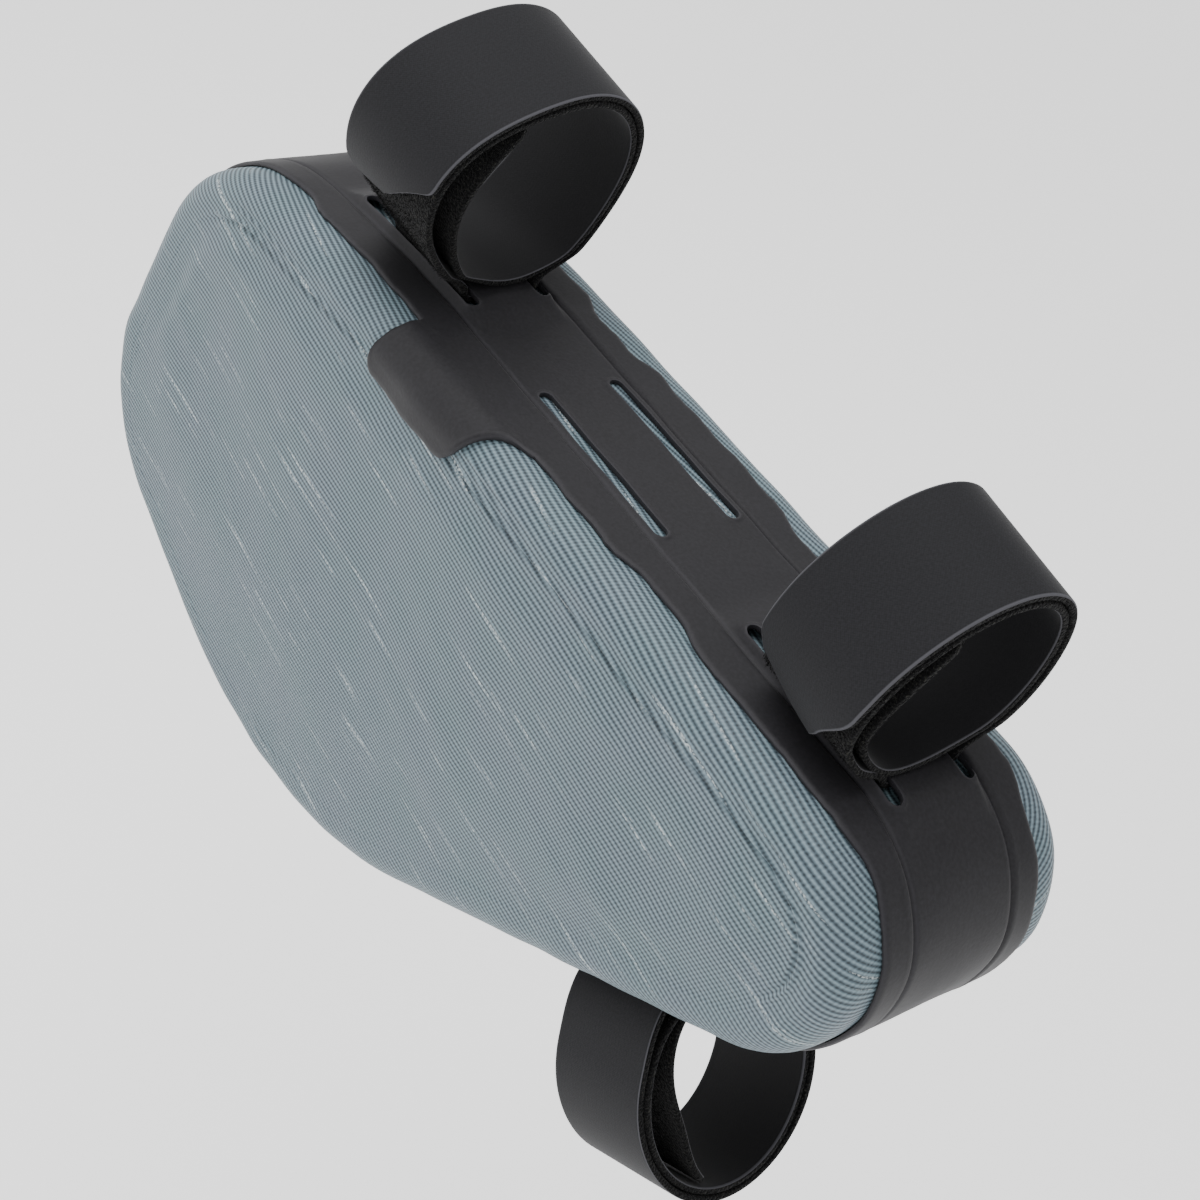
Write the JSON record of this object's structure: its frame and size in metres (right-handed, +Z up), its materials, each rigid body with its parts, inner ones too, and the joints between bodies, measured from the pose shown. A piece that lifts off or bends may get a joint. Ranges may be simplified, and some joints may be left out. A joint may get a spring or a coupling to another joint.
{
  "type": "bicycle frame bag",
  "caption": "Slim soft bag for the inside of a bicycle frame, with ribbed side panels, a black edge band with slots and tab, and wound hook-and-loop straps.",
  "frame": {"origin": "middle of the band's outer face between the two top straps, where the bicycle's top tube rests", "axes": "+X to the front of the bicycle, +Y to its left side, +Z up; the panel with the tab faces -Y"},
  "size_m": [0.2926, 0.0681, 0.213],
  "materials": {
    "ribbed_laminate": "grey-green laminated cloth with fine raised ribs, low sheen",
    "band_laminate": "soft matt coating, like peach skin",
    "hook_loop_strap": "smooth brushed face on one side, black pile on the other",
    "zip_tape": "coated water-repellent zip"
  },
  "bodies": {
    "root": {"right_side_panel": "ribbed_laminate", "left_side_panel": "ribbed_laminate", "left_zip": "zip_tape", "edge_band": "band_laminate", "top_strap_rear": "hook_loop_strap", "top_strap_front": "hook_loop_strap", "lower_strap": "hook_loop_strap"}
  },
  "joints": []
}
